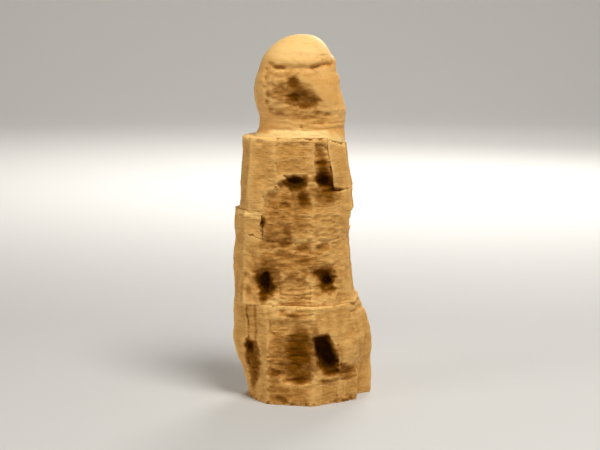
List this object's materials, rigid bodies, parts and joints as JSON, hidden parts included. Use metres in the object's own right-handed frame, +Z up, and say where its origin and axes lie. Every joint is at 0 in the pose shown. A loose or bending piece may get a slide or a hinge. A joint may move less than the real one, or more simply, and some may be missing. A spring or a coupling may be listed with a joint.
{
  "type": "fertility doll",
  "caption": "Carved standing doll in pale wood: smooth rounded head on a neck tenon, rough-hewn torso with let-in side blocks, flared faceted pedestal.",
  "frame": {"origin": "centre of the doll's bounding box in plan, on the surface it stands on", "axes": "+Z up through the head, the longest extent; -Y out of the front, where the face is; +X to the viewer's right when looking at the front"},
  "size_m": [0.0693, 0.05, 0.18],
  "materials": {
    "smoothed_wood": "scraped and rubbed smooth, unvarnished, dark stain in the face hollow",
    "hewn_wood": "rough, hewn with a knife and chattered across, unvarnished, dark stain in the hollows",
    "dowel_wood": "whittled, unvarnished"
  },
  "bodies": {
    "root": {"head": "smoothed_wood", "torso": "hewn_wood", "pedestal": "hewn_wood", "left_elbow_block": "hewn_wood", "right_shoulder_slab": "hewn_wood", "waist_dowel": "dowel_wood", "left_elbow_peg": "dowel_wood", "right_shoulder_peg": "dowel_wood"}
  },
  "joints": []
}
